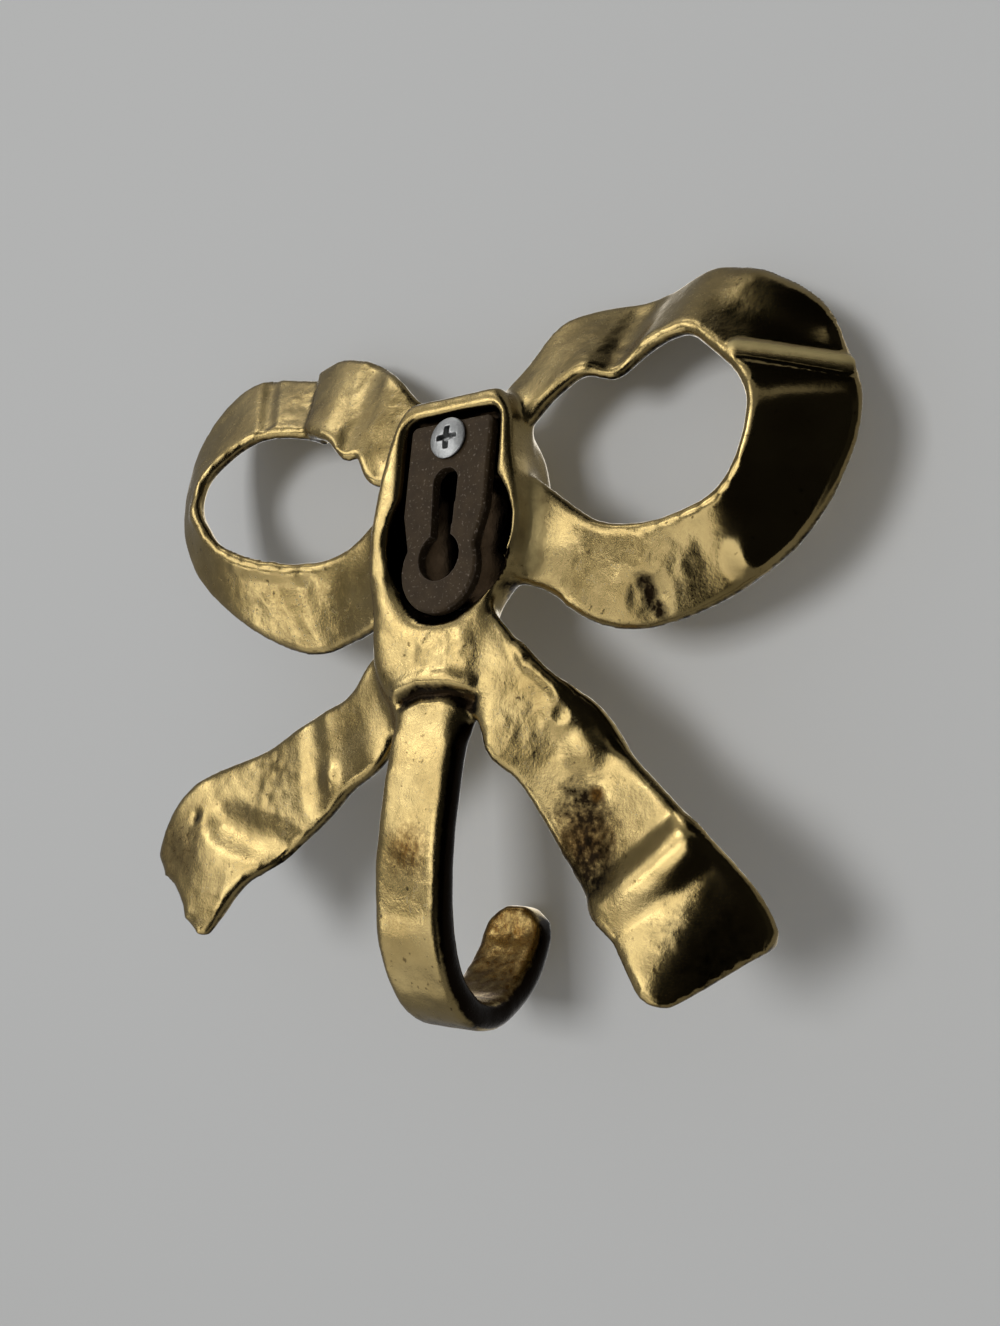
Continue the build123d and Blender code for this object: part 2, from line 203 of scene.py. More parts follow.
casting = skin_of_node("bow_hook_casting", "cast_bow_hook", SKIN_VOXEL, SKIN_STEPS)
print("skin:", len(casting.data.vertices), "points")

# %% helpers for places on the skin


def flat_places(points):
    """Places of points as seen from the wall: X and Z in mm."""
    return points[:, [0, 2]] / MM


def ramp(values, low, high):
    """0 up to low, 1 from high on, and straight in between."""
    return np.clip((values - low) / (high - low), 0, 1)


def bell(distance, reach):
    """Smooth falloff from 1 at no distance to 0 at the reach."""
    share = np.clip(distance / reach, 0, 1)
    return (1 - share ** 2) ** 2


def near_line(flat, corners, reach, power=1.0):
    """1 on a line of corners, falling to 0 at the reach. A low power keeps it near 1 for longer."""
    nearest = np.full(len(flat), np.inf)
    for start, end in zip(corners[:-1], corners[1:]):
        start = np.array(start)
        along = np.array(end) - start
        share = np.clip((flat - start) @ along / (along @ along), 0, 1)
        gap = flat - start - share[:, None] * along
        nearest = np.minimum(nearest, np.hypot(gap[:, 0], gap[:, 1]))
    return bell(nearest, reach) ** power


print("place helpers ready")

# %% [markdown]
# Behind the core two hollows stay open: the recess that the plate lies in and the deeper pocket
# for the head of the wall screw. The next steps fill joints and paint shade into the hollows by
# place, so they need to know which points lie in a hollow. A rule on each point's place is enough,
# because both hollows are plain shapes.

# %% casting: the hollows behind the core
# Places (X, Z) and sizes in mm, a little larger than the hollows themselves
FACE_DEPTH = -0.9
POCKET_MIDDLE = (-0.7, -8.2)
POCKET_REACH = 12.7
POCKET_FLOOR = -8.4
RECESS_HALF_WIDTH = 9.8
RECESS_TOP = 12.1
RECESS_FLOOR = -2.4
LOBE_MIDDLE = (0.0, -14.0)
LOBE_REACH = 9.0


def in_hollow(points):
    """Which points lie in the recess for the plate or in the pocket behind it."""
    flat = flat_places(points)
    depth = points[:, 1] / MM
    pocket = np.hypot(*(flat - POCKET_MIDDLE).T) < POCKET_REACH
    pocket &= depth > POCKET_FLOOR
    recess = np.abs(flat[:, 0]) < RECESS_HALF_WIDTH
    recess &= (flat[:, 1] < RECESS_TOP) & (flat[:, 1] > LOBE_MIDDLE[1])
    recess |= np.hypot(*(flat - LOBE_MIDDLE).T) < LOBE_REACH
    recess &= depth > RECESS_FLOOR
    return (pocket | recess) & (depth < FACE_DEPTH)


print("points in the hollows:", int(in_hollow(read_vertices(casting.data, "co")).sum()))

# %% [markdown]
# Where the loops, tails and strap meet the core, the real joints are full and round, as if wax had
# been pressed into the corners of the pattern. Smoothing alone would thin the ribbons as well. So
# the corners are filled: each hollow point beside the core rises toward the mean of its neighbours,
# again and again, and points that stand proud are left alone.

# %% casting: fill the joints
# Joints run down both sides of the core: corners (X, Z) and sizes in mm
RIGHT_JOINT = [(10.0, 12.0), (13.0, 0.0), (14.0, -8.0), (12.0, -17.0), (9.5, -25.0), (8.5, -39.0)]
LEFT_JOINT = [(-x, z) for x, z in RIGHT_JOINT]
JOINT_REACH = 11.0
JOINT_DEPTH = -10.0         # filling starts at this depth
JOINT_FADE = 3.0            # and is full this much nearer the wall
JOINT_STEPS = 380
FULL_MIDDLE = 0.5           # power that keeps a weight near 1 for most of its reach


def fill_creases(mesh, weights, steps):
    """Raise hollow points toward the mean of their neighbours and leave raised ones alone."""
    points = read_vertices(mesh, "co")
    normals = read_vertices(mesh, "normal")
    ends = np.empty(len(mesh.edges) * 2, np.int32)
    mesh.edges.foreach_get("vertices", ends)
    first, second = ends.reshape(-1, 2).T
    neighbours = np.bincount(ends, minlength=len(points))
    mean = np.empty_like(points)
    for _ in range(steps):
        for axis in range(3):
            column = points[:, axis]
            total = np.bincount(first, column[second], len(points))
            total += np.bincount(second, column[first], len(points))
            mean[:, axis] = total / neighbours
        lift = np.einsum("ij,ij->i", mean - points, normals)
        points += normals * (np.maximum(lift, 0) * weights)[:, None]
    write_places(mesh, points)
    mesh.update()


points = read_vertices(casting.data, "co")
flat = flat_places(points)
weights = np.zeros(len(points))
for corners in (LEFT_JOINT, RIGHT_JOINT):
    np.maximum(weights, near_line(flat, corners, JOINT_REACH, FULL_MIDDLE), out=weights)
weights *= ramp(points[:, 1] / MM, JOINT_DEPTH, JOINT_DEPTH + JOINT_FADE)
weights[in_hollow(points)] = 0
fill_creases(casting.data, weights, JOINT_STEPS)
print("joint points:", int((weights > 0).sum()))

# %% [markdown]
# In a few places one form of the real casting flows into the next with no edge at all. There a
# Smooth modifier works through a vertex group, which is how a sculptor would mask a smoothing
# brush: the group's weights say where it works and how much.

# %% casting: blend one form into the next
# Blends: corners (X, Z) in mm and how far the softening reaches in mm
BLENDS = {
    "core into the left tail": ([(-9.6, -20.8), (-8.8, -27.0), (-8.0, -35.0)], 7.0),
    "core into the right tail": ([(10.0, -19.0), (9.0, -26.0), (7.8, -34.0)], 6.0),
    "outer corner of the right tail": ([(65.0, -58.0), (63.0, -62.0)], 4.2),
    "point of the right tail": ([(45.0, -76.0), (47.0, -73.0)], 4.5),
    "left loop into the core": ([(-16.0, -18.0), (-11.5, -16.5)], 3.5),
}
BLEND_STEPS = 90
BLEND_DEPTH = -9.0 * MM     # points deeper than this stay
LEAST_WEIGHT = 0.02

points = read_vertices(casting.data, "co")
flat = flat_places(points)
weights = np.zeros(len(points))
for corners, reach in BLENDS.values():
    np.maximum(weights, near_line(flat, corners, reach, FULL_MIDDLE), out=weights)
weights *= points[:, 1] > BLEND_DEPTH
group = casting.vertex_groups.new(name="blend")
for i in np.flatnonzero(weights > LEAST_WEIGHT):
    group.add([int(i)], float(weights[i]), "REPLACE")
soften = casting.modifiers.new("blend", "SMOOTH")
soften.vertex_group = "blend"
soften.factor = SOFTENING
soften.iterations = BLEND_STEPS
modified_mesh(casting)
print("blended points:", int((weights > LEAST_WEIGHT).sum()))

# %% [markdown]
# The ribbons of the real bow are folded, pinched and hammered, each place in its own way. Sculpting
# would do it by eye, but could not be repeated. So each mark is written down: a stroke raises or
# presses a line across the wall side, a spot raises or presses a round patch, and a bend leans a
# whole stretch of ribbon. Left and right are as seen from the front.

# %% casting: strokes
# Strokes: corners (X, Z) in mm, half width in mm, height in mm (minus presses in)
STROKES = {
    "raised band across the left loop": ([(-47.6, 13.9), (-62.8, 9.9)], 1.0, 0.45),
    "rim above that band": ([(-49.0, 26.5), (-59.5, 19.0)], 5.5, 1.1),
    "crease below that band": ([(-48.6, 12.0), (-62.6, 8.2)], 0.9, -0.3),
    "pinch in the left loop": ([(-28.6, 26.0), (-27.4, 21.2), (-26.9, 17.6)], 3.6, -0.6),
    "step in the right loop": ([(52.6, 31.0), (49.6, 25.1), (46.4, 18.8)], 1.7, -0.5),
    "fold of the lapping layer": ([(24.0, 26.5), (22.7, 18.7), (23.8, 11.0)], 3.0, -0.5),
    "lip along the right loop's hole": ([(59.3, 2.8), (47.9, -7.1), (33.5, -10.2)], 2.4, 0.5),
    "fold of the right loop's lower band": ([(35.4, -10.0), (33.2, -16.5), (31.4, -22.5)], 3.6, -0.4),
    "edge of the flat on the right tail": ([(27.8, -37.3), (26.2, -44.0), (24.4, -50.5)], 2.6, -0.35),
    "valley of the right tail": ([(46.3, -54.2), (39.1, -56.2), (31.7, -58.0)], 3.6, -0.8),
    "ridge of the left tail": ([(-11.5, -21.6), (-17.2, -28.8), (-22.4, -33.3)], 1.7, 0.5),
    "fold across the left tail": ([(-42.6, -54.4), (-36.1, -59.6), (-29.8, -64.4)], 3.6, 1.1),
    "groove under the core's lip": (
        [(6.0, -34.9), (2.2, -33.7), (-3.3, -33.7), (-7.4, -34.6)], 1.2, -0.9),
    "lip of the core": ([(6.4, -32.9), (2.2, -31.6), (-3.3, -31.6), (-7.0, -32.4)], 1.5, 0.4),
}
# Bends: corners (X, Z) and reach in mm, and how far the whole ribbon moves to the wall in mm
BENDS = {
    "right tail's end droops": ([(63.0, -62.0), (65.0, -62.0)], 17.0, -1.7),
    "facet on the left tail's outer edge": ([(-27.0, -31.2), (-31.8, -36.8)], 6.5, -2.1),
}
print("strokes:", len(STROKES), "bends:", len(BENDS))

# %% casting: spots
# Spots: middle (X, Z) in mm, radius in mm, height in mm, then shares hammered, painted shade (shade
# in pits and dimples, dark reflections on the tail ends), stained
SPOTS = {
    "bulge on the left loop": ((-34.5, -15.8), 7.0, 0.5, 1.0, 0.0, 0.0),
    "boss on the left loop": ((-49.0, -15.8), 3.4, 0.4, 0.3, 0.0, 0.0),
    "dimple beside that bulge": ((-33.6, -19.2), 3.6, -0.5, 0.5, 0.2, 0.0),
    "hammered patch on the right loop": ((23.3, -16.0), 5.0, 0.3, 1.0, 0.0, 0.0),
    "lapping layer of the right loop": ((18.5, 18.5), 7.5, 0.5, 0.7, 0.0, 0.0),
    "crumpled top of the right loop": ((41.0, 22.0), 9.0, 0.0, 0.5, 0.0, 0.0),
    "crumpled side of the right loop": ((60.0, 6.0), 8.0, 0.0, 0.4, 0.0, 0.0),
    "crumpled underside of the right loop": ((44.0, -14.0), 9.0, 0.0, 0.4, 0.0, 0.0),
    "crumpled top of the left loop": ((-24.0, 21.0), 8.0, 0.0, 0.5, 0.0, 0.0),
    "crumpled underside of the left loop": ((-21.0, -14.0), 6.0, 0.0, 0.4, 0.0, 0.0),
    "crumpled root of the left tail": ((-17.0, -38.0), 7.0, 0.0, 0.6, 0.0, 0.0),
    "crumpled strap": ((0.0, -50.0), 9.0, 0.0, 0.35, 0.0, 0.0),
    "hammered patch on the core": ((-1.8, -27.2), 7.5, 0.2, 1.0, 0.0, 0.0),
    "swirl on the left tail": ((-22.3, -36.8), 3.4, 0.35, 0.0, 0.0, 0.0),
    "pit in that swirl": ((-22.3, -36.8), 1.5, -0.35, 0.0, 0.0, 0.2),
    "knob on the left tail": ((-25.6, -42.1), 3.2, 0.4, 0.0, 0.0, 0.0),
    "small pit on the left tail": ((-16.9, -29.1), 0.9, -0.3, 0.0, 0.1, 0.0),
    "rubbed patch on the left tail": ((-26.4, -54.6), 8.0, -0.2, 0.6, 0.3, 0.8),
    "brown spot on the left tail": ((-27.7, -48.3), 2.0, 0.0, 0.0, 0.0, 1.0),
    "end of the left tail": ((-45.5, -68.0), 10.0, 0.0, 0.35, 0.4, 0.1),
    "stain on the strap": ((0.6, -57.9), 6.0, 0.0, 0.3, 0.0, 0.7),
    "flat on the right tail": ((35.6, -47.0), 9.0, 0.0, 0.9, 0.0, 0.0),
    # The dull end of the right tail is painted darker: its stain and painted shade stand in for a darker
    # reflection
    "dull end of the right tail": ((57.0, -60.0), 10.0, 0.4, 0.0, 0.15, 0.45),
    "pit on the right tail": ((53.2, -53.5), 1.5, -0.4, 0.0, 0.5, 0.0),
    "knob on the right tail": ((22.6, -46.0), 2.4, 0.5, 0.0, 0.0, 0.0),
}
print("spots:", len(SPOTS))

# %% casting: work the skin
WALL_SIDE = -14.0 * MM      # the wall-side faces all lie above this depth
FULL_FACING = 0.5           # a mark is full where a normal turns this far to the wall
STROKE_SPREAD = 1.4         # a mark fades out at its half width or radius times its spread
SPOT_SPREAD = 1.25

points = read_vertices(casting.data, "co")
normals = read_vertices(casting.data, "normal")
flat = flat_places(points)
facing = ramp(normals[:, 1], 0.0, FULL_FACING) * (points[:, 1] > WALL_SIDE)
for corners, reach, lean in BENDS.values():
    points[:, 1] += lean * MM * near_line(flat, corners, reach)
height = np.zeros(len(points))
for corners, half_width, rise in STROKES.values():
    height += rise * near_line(flat, corners, half_width * STROKE_SPREAD)
hammered, painted_shade, stained = np.zeros((3, len(points)))
for middle, radius, rise, *shares in SPOTS.values():
    falloff = bell(np.hypot(*(flat - middle).T), radius * SPOT_SPREAD)
    height += rise * falloff
    for layer, share in zip((hammered, painted_shade, stained), shares):
        np.maximum(layer, share * falloff * facing, out=layer)
points += normals * (height * facing * MM)[:, None]
write_places(casting.data, points)
print("heights in mm:", round(height.min(), 2), "to", round(height.max(), 2))

# %% [markdown]
# Brass darkens where no cloth reaches and shines where it is rubbed. Shade and light are painted
# here too: black painted shade in the hollows behind the core, in the crease above the strap, on
# under edges and on the strap's sides, black painted reflections on the left loop and the tail ends,
# and a pale painted sheen on the raised band and the root of the left loop. A texture map could hold
# that, but the marks already have places, so each point of the skin keeps a few measures between 0
# and 1 as attributes, and the material reads them later.

# %% casting: where it is polished, worn, or painted with shade and sheen
# Lines: corners (X, Z) in mm, reach in mm and how polished, how dark the painted shade, or how worn
# and painted pale
POLISHED_LINES = {
    "outer side of the left loop": (
        [(-56.0, 20.0), (-58.5, 4.0), (-54.0, -8.0), (-49.5, -15.0)], 11.5, 1.0),
    "end of the left tail": ([(-43.0, -60.0), (-48.0, -71.0)], 11.0, 0.8),
    "facet on the left tail": ([(-25.5, -31.4), (-31.6, -38.6)], 4.5, 1.0),
}
# Painted shade: dark in the crease above the strap, where the gap lies in shade, and on the patches beside
# the left loop's bulge and on the left tail
PAINTED_SHADE_LINES = {
    "crease above the strap": ([(5.5, -35.2), (2.2, -33.7), (-3.3, -33.7), (-7.6, -36.0)], 1.9, 0.8),
    "patch beside the left loop's bulge": ([(-33.2, -17.6), (-34.6, -21.5)], 2.2, 0.68),
    "rubbed patch on the left tail": ([(-25.4, -50.0), (-27.6, -59.5)], 7.0, 0.62),
}
# Pale lines, partly real wear and partly a painted sheen on the raised band and the root of the left loop
WORN_AND_SHEEN_LINES = {
    "raised band across the left loop": (STROKES["raised band across the left loop"][0], 1.3, 1.0),
    "root of the left loop": ([(-15.2, -1.0), (-15.4, -8.0), (-14.8, -13.5)], 3.0, 0.55),
}
PAINTED_SHADE_POWER, WORN_AND_SHEEN_POWER, POLISHED_POWER = 0.7, 1.0, 0.35
HOLLOW_PAINTED_SHADE = 0.95
HOLLOW_FACING = -0.3        # normals that turn further to the front lie outside the hollows

# Painted shade: the recess and the pocket behind the core are coloured nearly black, where shade falls in
# them
painted_shade[in_hollow(points) & (normals[:, 1] > HOLLOW_FACING)] = HOLLOW_PAINTED_SHADE
polished, worn = np.zeros((2, len(points)))
for layer, lines, power in (
        (painted_shade, PAINTED_SHADE_LINES, PAINTED_SHADE_POWER),
        (worn, WORN_AND_SHEEN_LINES, WORN_AND_SHEEN_POWER),
        (polished, POLISHED_LINES, POLISHED_POWER)):
    for corners, reach, share in lines.values():
        np.maximum(layer, share * near_line(flat, corners, reach, power) * facing, out=layer)
print("polished points:", int((polished > 0).sum()), "worn points:", int((worn > 0).sum()))

# %% casting: painted shade on the strap's sides and under edges, and the inside of the hook
STRAP_HALF_WIDTH = 8.0
STRAP_TOP = -37.0
STRAP_SIDE_PAINTED_SHADE = 0.85
UNDER_EDGE_PAINTED_SHADE = 0.6
HOOK_INSIDE_TOP = -60.0
HOOK_INSIDE_FACING = 0.2
HOOK_STAINED, HOOK_HAMMERED = 0.65, 0.6
POLISHED_FLAT = 0.75        # polishing takes this share of the ripples away

# Painted shade: the strap's sides that face -X and the edges that face down are coloured dark
strap_side = (np.abs(flat[:, 0]) < STRAP_HALF_WIDTH) & (flat[:, 1] < STRAP_TOP)
strap_side = strap_side * ramp(-normals[:, 0], 0.45, 0.85)
under_edge = ramp(-normals[:, 2], 0.25, 0.65) * (1 - ramp(normals[:, 1], 0.2, 0.6))
under_edge *= points[:, 1] > WALL_SIDE
painted_shade = np.maximum(painted_shade, STRAP_SIDE_PAINTED_SHADE * strap_side)
painted_shade = np.maximum(painted_shade, UNDER_EDGE_PAINTED_SHADE * under_edge)
inside_hook = (points[:, 1] < WALL_SIDE) & (flat[:, 1] < HOOK_INSIDE_TOP)
inside_hook &= normals[:, 1] > HOOK_INSIDE_FACING
stained[inside_hook] = HOOK_STAINED
hammered[inside_hook] = HOOK_HAMMERED
measures = {
    "hammered": hammered,
    "painted_shade": painted_shade,
    "stained": stained,
    "worn": worn,
    "polished": polished,
    "rippled": 1 - POLISHED_FLAT * polished,
}
for name, layer in measures.items():
    store(casting.data, name, layer)
print("measures:", ", ".join(measures))

# %% [markdown]
# No part of a cast and hand-polished surface is flat. It has slow waves everywhere and finer hammer
# marks in places. A bump texture would show them inside the outline only, so a node tree moves the
# points themselves, by a rule. It also stores how hollow each point is, which tells the materials
# where patina gathers, where hollows are coloured darker and where edges are rubbed. The plate and
# the screw use it with other sizes.

# %% surface tree
NOISE_MIDDLE = 0.55         # a little over the noise's mean, so that more of the surface goes inward


def surface_tree(name):
    """Node tree that ripples and hammers a skin and stores how hollow each point is."""
    tree = bpy.data.node_groups.new(name, "GeometryNodeTree")
    face = tree.interface
    face.new_socket("Geometry", in_out="INPUT", socket_type="NodeSocketGeometry")
    for label in ("Ripple size", "Ripple height", "Hammer size", "Hammer height"):
        face.new_socket(label, in_out="INPUT", socket_type="NodeSocketFloat")
    face.new_socket("Hollow reach", in_out="INPUT", socket_type="NodeSocketInt")
    face.new_socket("Material", in_out="INPUT", socket_type="NodeSocketMaterial")
    face.new_socket("Geometry", in_out="OUTPUT", socket_type="NodeSocketGeometry")
    given = add(tree, "NodeGroupInput").outputs
    place = add(tree, "GeometryNodeInputPosition").outputs[0]
    normal = add(tree, "GeometryNodeInputNormal").outputs[0]

    body = given["Geometry"]
    for pattern, layer in (("Ripple", "rippled"), ("Hammer", "hammered")):
        share = add(tree, "GeometryNodeInputNamedAttribute", {"Name": layer}, data_type="FLOAT").outputs[0]
        scale = add(tree, "ShaderNodeMath", {0: 1.0, 1: given[pattern + " size"]}, operation="DIVIDE")
        noise = add(tree, "ShaderNodeTexNoise",
                    {"Vector": place, "Scale": scale.outputs[0], "Detail": 3.0, "Roughness": 0.5})
        height = add(tree, "ShaderNodeMath", {0: noise.outputs[0], 1: NOISE_MIDDLE},
                     operation="SUBTRACT").outputs[0]
        for factor in (given[pattern + " height"], share):
            height = add(tree, "ShaderNodeMath", {0: height, 1: factor}, operation="MULTIPLY").outputs[0]
        push = add(tree, "ShaderNodeVectorMath", {0: normal, "Scale": height}, operation="SCALE")
        body = add(tree, "GeometryNodeSetPosition",
                   {"Geometry": body, "Offset": push.outputs[0]}).outputs[0]

    wide = add(tree, "GeometryNodeBlurAttribute",
               {"Value": place, "Iterations": given["Hollow reach"]}, data_type="FLOAT_VECTOR")
    lift = add(tree, "ShaderNodeVectorMath", {0: wide.outputs[0], 1: place}, operation="SUBTRACT")
    hollow = add(tree, "ShaderNodeVectorMath", {0: lift.outputs[0], 1: normal}, operation="DOT_PRODUCT")
    body = add(tree, "GeometryNodeStoreNamedAttribute",
               {"Geometry": body, "Name": "hollow", "Value": hollow.outputs["Value"]},
               data_type="FLOAT", domain="POINT").outputs[0]
    body = add(tree, "GeometryNodeSetShadeSmooth", {0: body}).outputs[0]
    body = add(tree, "GeometryNodeRealizeInstances", {0: body}).outputs[0]
    body = add(tree, "GeometryNodeSetMaterial",
               {"Geometry": body, "Material": given["Material"]}).outputs[0]
    add(tree, "NodeGroupOutput", {0: body})
    return tree


surface = surface_tree("hand-worked surface")
print("surface tree:", len(surface.nodes), "nodes")

# %% finish a piece


def run_tree(piece, tree, inputs):
    """Run a node tree on a piece, its named inputs set by their socket identifiers."""
    modifier = piece.modifiers.new(tree.name, "NODES")
    modifier.node_group = tree
    for socket in tree.interface.items_tree:
        if socket.in_out == "INPUT" and socket.name in inputs:
            modifier[socket.identifier] = inputs[socket.name]
    return modified_mesh(piece)


def finish_piece(piece, inputs, node):
    """Run the surface tree on a piece, keep it within the CAD box and put it in its node's place."""
    mesh = run_tree(piece, surface, inputs)
    write_places(mesh, np.clip(read_vertices(mesh, "co"), cad_low, cad_high))
    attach(piece, "root")
    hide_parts(node)
    print(piece.name, len(mesh.polygons), "faces")


print("piece helpers ready")

# %% [markdown]
# The casting is brass, poured into a sand mould and polished by hand. To the eye that is a warm,
# slightly wavy mirror: two tones in slow clouds, brown patina in every hollow, brown stains, black
# painted shade and painted dark reflections, and pale wear partly painted as sheen, where the
# measures say so, gas pits, and a fine grain where the polish didn't reach. One Principled shader
# takes all of it, because only its colour, its roughness and its bump change from place to place.
# Layers of shaders would do the same with more to keep in step.

# %% brass: colour
CLOUD_SIZE = 7.0            # slow clouds of tone, in mm as all pattern sizes are
FLECK_SIZE = 1.3            # ragged edges of the patina
PIT_SIZE = 1.1              # gas pits
FLECK_SHARE = 1.1           # how strongly the flecks break up an edge

brass = bpy.data.materials.new("polished_cast_brass")
tree = empty_tree(brass)
place = add(tree, "ShaderNodeTexCoord").outputs["Object"]
layers = {}
for name in ("hollow", "painted_shade", "stained", "worn", "polished"):
    layers[name] = add(tree, "ShaderNodeAttribute", attribute_name=name).outputs["Fac"]
cloud = add(tree, "ShaderNodeTexNoise", {"Vector": place, "Scale": per_mm(CLOUD_SIZE), "Detail": 4.0})
fleck = add(tree, "ShaderNodeTexNoise",
            {"Vector": place, "Scale": per_mm(FLECK_SIZE), "Detail": 6.0, "Roughness": 0.7})
pits = add(tree, "ShaderNodeTexNoise", {"Vector": place, "Scale": per_mm(PIT_SIZE), "Detail": 3.0})


def overlay(under, amount, low, high, hex_code):
    """Mix a colour over another where a broken-up amount passes from low to high."""
    broken = add(tree, "ShaderNodeMath", {0: fleck.outputs[0], 1: FLECK_SHARE, 2: amount},
                 operation="MULTIPLY_ADD")
    share = add(tree, "ShaderNodeMapRange", {"Value": broken.outputs[0], "From Min": low, "From Max": high})
    return add(tree, "ShaderNodeMix",
               {MIX_SHARE: share.outputs[0], COLOUR_A: under, COLOUR_B: colour(hex_code)},
               data_type="RGBA").outputs[MIXED_COLOUR]


tone = add(tree, "ShaderNodeMix",
           {MIX_SHARE: cloud.outputs[0], COLOUR_A: colour("#8a7547"), COLOUR_B: colour("#c6b17c")},
           data_type="RGBA").outputs[MIXED_COLOUR]
pitted = add(tree, "ShaderNodeMapRange",
             {"Value": pits.outputs[0], "From Min": 0.66, "From Max": 0.74, "To Max": 0.7}).outputs[0]
tone = add(tree, "ShaderNodeMix", {MIX_SHARE: pitted, COLOUR_A: tone, COLOUR_B: colour("#4a3816")},
           data_type="RGBA").outputs[MIXED_COLOUR]
creased = add(tree, "ShaderNodeMapRange",
              {"Value": layers["hollow"], "From Min": 0.05 * MM, "From Max": 0.45 * MM}).outputs[0]
tone = overlay(tone, layers["stained"], 0.75, 1.35, "#523814")
tone = overlay(tone, creased, 0.7, 1.3, "#3a2a12")
# painted shade and painted dark reflections: near black where that measure is high
tone = overlay(tone, layers["painted_shade"], 0.72, 1.2, "#1a130b")
# partly wear and partly a painted sheen: pale where that measure is high
tone = overlay(tone, layers["worn"], 0.8, 1.4, "#cbb880")
print("brass colour:", len(tree.nodes), "nodes")

# %% brass: polish
GRAIN_SIZE = 0.5            # sand grain, drawn coarser than it is so that it shows
GRAIN_HEIGHT = 0.08 * MM
GRAIN_SATIN, GRAIN_POLISHED = 0.45, 0.08
SATIN_LOW, SATIN_HIGH = 0.16, 0.30
POLISHED_ROUGHNESS = 0.10
WORN_ROUGHNESS = 0.42       # added where the polish is worn off
WORN_METALLIC = 0.6

grain = add(tree, "ShaderNodeTexNoise",
            {"Vector": place, "Scale": per_mm(GRAIN_SIZE), "Detail": 4.0, "Roughness": 0.6})
grainy = add(tree, "ShaderNodeMapRange",
             {"Value": layers["polished"], "To Min": GRAIN_SATIN, "To Max": GRAIN_POLISHED}).outputs[0]
bump = add(tree, "ShaderNodeBump",
           {"Height": grain.outputs[0], "Strength": grainy, "Distance": GRAIN_HEIGHT})
satin = add(tree, "ShaderNodeMapRange",
            {"Value": fleck.outputs[0], "From Min": 0.3, "From Max": 0.7,
             "To Min": SATIN_LOW, "To Max": SATIN_HIGH}).outputs[0]
rough = add(tree, "ShaderNodeMix",
            {MIX_SHARE: layers["polished"], NUMBER_A: satin, NUMBER_B: POLISHED_ROUGHNESS})
rubbed = add(tree, "ShaderNodeMath", {0: layers["worn"], 1: WORN_ROUGHNESS, 2: rough.outputs[0]},
             operation="MULTIPLY_ADD")
metal = add(tree, "ShaderNodeMapRange",
            {"Value": layers["worn"], "To Min": 1.0, "To Max": WORN_METALLIC}).outputs[0]
shader = add(tree, "ShaderNodeBsdfPrincipled",
             {"Base Color": tone, "Metallic": metal, "Roughness": rubbed.outputs[0],
              "Normal": bump.outputs[0]})
add(tree, "ShaderNodeOutputMaterial", {0: shader.outputs[0]})
print("brass:", len(tree.nodes), "nodes")

# %% casting: finish
cast_surface = {
    "Ripple size": 8.0 * MM,
    "Ripple height": 0.55 * MM,
    "Hammer size": 1.7 * MM,
    "Hammer height": 0.5 * MM,
    "Hollow reach": 14,
    "Material": brass,
}
finish_piece(casting, cast_surface, "bow_hook_casting")

# %% [markdown]
# The hanger plate is stamped from sheet steel and browned. To the eye it is a dull, dark brown with
# a mottle of two tones, pale specks and edges rubbed back toward bare steel. Edge wear could be
# painted on, but the hollow measure already finds it: it is below zero where a surface stands
# proud.

# %% browned steel
MOTTLE_SIZE = 2.6
SPECK_SIZE = 0.5
SPECK_HEIGHT = 0.04 * MM

steel = bpy.data.materials.new("browned_steel")
tree = empty_tree(steel)
place = add(tree, "ShaderNodeTexCoord").outputs["Object"]
hollow = add(tree, "ShaderNodeAttribute", attribute_name="hollow").outputs["Fac"]
mottle = add(tree, "ShaderNodeTexNoise",
             {"Vector": place, "Scale": per_mm(MOTTLE_SIZE), "Detail": 6.0, "Roughness": 0.6})
specks = add(tree, "ShaderNodeTexNoise", {"Vector": place, "Scale": per_mm(SPECK_SIZE), "Detail": 3.0})
tone = add(tree, "ShaderNodeMix",
           {MIX_SHARE: mottle.outputs[0], COLOUR_A: colour("#231b12"), COLOUR_B: colour("#4c3e2c")},
           data_type="RGBA").outputs[MIXED_COLOUR]
proud = add(tree, "ShaderNodeMapRange",
            {"Value": hollow, "From Min": -0.035 * MM, "From Max": -0.12 * MM}).outputs[0]
rubbed = add(tree, "ShaderNodeMath", {0: proud, 1: specks.outputs[0]}, operation="MULTIPLY").outputs[0]
pale = add(tree, "ShaderNodeMapRange",
           {"Value": specks.outputs[0], "From Min": 0.60, "From Max": 0.70, "To Max": 0.42}).outputs[0]
for share, hex_code in ((rubbed, "#8d8279"), (pale, "#9a8d80")):
    tone = add(tree, "ShaderNodeMix", {MIX_SHARE: share, COLOUR_A: tone, COLOUR_B: colour(hex_code)},
               data_type="RGBA").outputs[MIXED_COLOUR]
bump = add(tree, "ShaderNodeBump",
           {"Height": specks.outputs[0], "Strength": 0.25, "Distance": SPECK_HEIGHT})
shader = add(tree, "ShaderNodeBsdfPrincipled",
             {"Base Color": tone, "Metallic": 0.15, "Roughness": 0.55, "Specular IOR Level": 0.2,
              "Normal": bump.outputs[0]})
add(tree, "ShaderNodeOutputMaterial", {0: shader.outputs[0]})
print("browned steel:", len(tree.nodes), "nodes")

# %% hanger plate
PLATE_VOXEL = 0.2 * MM
PLATE_STEPS = 4

